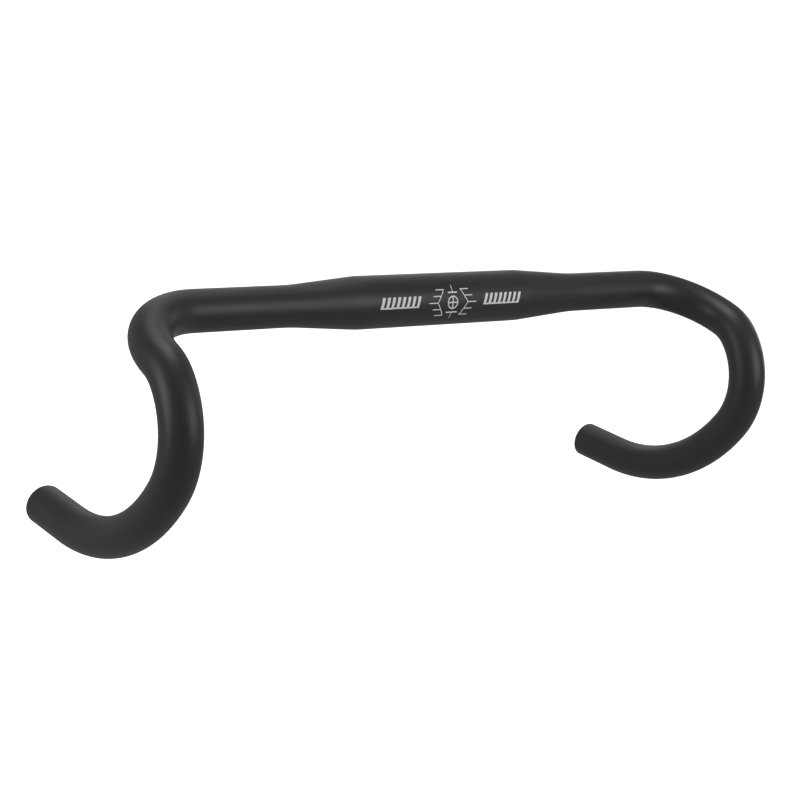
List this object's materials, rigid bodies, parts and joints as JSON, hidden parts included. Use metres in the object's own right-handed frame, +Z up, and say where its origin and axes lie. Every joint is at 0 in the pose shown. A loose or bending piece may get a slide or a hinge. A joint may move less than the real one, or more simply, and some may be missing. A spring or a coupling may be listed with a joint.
{
  "type": "drop handlebar",
  "caption": "Bare road bicycle drop handlebar: a tube thick in the middle for a stem clamp, thinner tops, forward ramps and hooks that curve down and back to open ends.",
  "frame": {"origin": "centre of the stem clamp zone, on the tube's axis", "axes": "+X along the bar, -Y to the front of the bicycle, +Z up with the ramps level"},
  "size_m": [0.4638, 0.1262, 0.1718],
  "materials": {
    "black_anodised": "satin black anodised aluminium, fine bead-blasted grain",
    "white_ink": "pad-printed off-white ink, 0.05 mm thick, matt"
  },
  "bodies": {
    "root": {"handlebar_tube": "black_anodised", "left_side_print": "white_ink", "right_side_print": "white_ink", "left_angle_scale": "white_ink", "right_angle_scale": "white_ink", "centre_print": "white_ink", "upper_centre_mark": "white_ink", "lower_centre_mark": "white_ink"}
  },
  "joints": []
}
